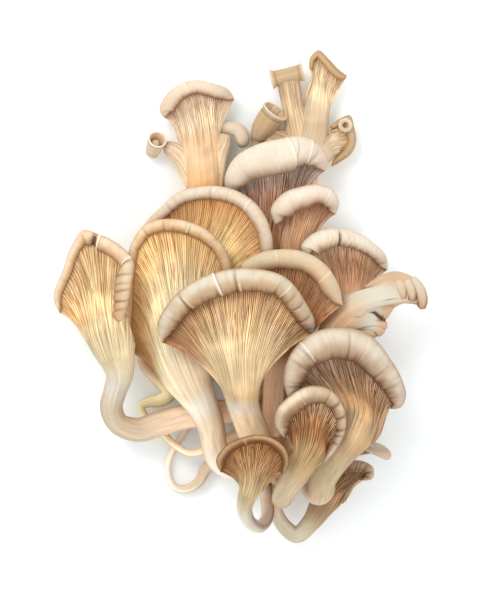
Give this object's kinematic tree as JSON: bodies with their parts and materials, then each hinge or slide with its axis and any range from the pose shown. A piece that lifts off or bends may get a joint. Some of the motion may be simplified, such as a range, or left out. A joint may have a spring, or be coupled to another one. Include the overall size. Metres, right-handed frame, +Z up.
{
  "type": "oyster mushroom cluster",
  "caption": "Cluster of oyster mushrooms with fan caps, rolled margins, gills in relief and bent stems grown from one clump, lying on its cut face.",
  "frame": {"origin": "middle of the flat face where the clump was cut, on the surface that the cluster rests on", "axes": "+Y from the clump towards the highest caps, the cluster's longest extent; +Z up, away from the surface, the side that the gills look to"},
  "size_m": [0.1663, 0.2196, 0.0642],
  "materials": {
    "cap_front_large_flesh": "matte",
    "cap_front_small_flesh": "matte",
    "cap_right_small_flesh": "matte",
    "cap_right_large_flesh": "matte",
    "cap_left_large_flesh": "matte",
    "cap_far_left_flesh": "matte",
    "cap_back_left_flesh": "matte",
    "cap_back_centre_flesh": "matte",
    "cap_upper_right_flesh": "matte",
    "cap_mid_right_flesh": "matte",
    "cap_centre_right_flesh": "matte",
    "cap_top_left_flesh": "matte",
    "cap_top_right_flesh": "matte",
    "cap_right_back_view_flesh": "matte",
    "cap_low_right_flesh": "matte",
    "cap_low_right_sprout_flesh": "matte",
    "sprout_left_flesh": "matte",
    "sprout_low_left_flesh": "matte",
    "clump_flesh": "matte"
  },
  "bodies": {
    "root": {"cap_front_large": "cap_front_large_flesh", "cap_front_small": "cap_front_small_flesh", "cap_right_small": "cap_right_small_flesh", "cap_right_large": "cap_right_large_flesh", "cap_left_large": "cap_left_large_flesh", "cap_far_left": "cap_far_left_flesh", "cap_back_left": "cap_back_left_flesh", "cap_back_centre": "cap_back_centre_flesh", "cap_upper_right": "cap_upper_right_flesh", "cap_mid_right": "cap_mid_right_flesh", "cap_centre_right": "cap_centre_right_flesh", "cap_top_left": "cap_top_left_flesh", "cap_top_right": "cap_top_right_flesh", "cap_right_back_view": "cap_right_back_view_flesh", "cap_low_right": "cap_low_right_flesh", "cap_low_right_sprout": "cap_low_right_sprout_flesh", "sprout_left": "sprout_left_flesh", "sprout_low_left": "sprout_low_left_flesh", "clump": "clump_flesh"}
  },
  "joints": []
}
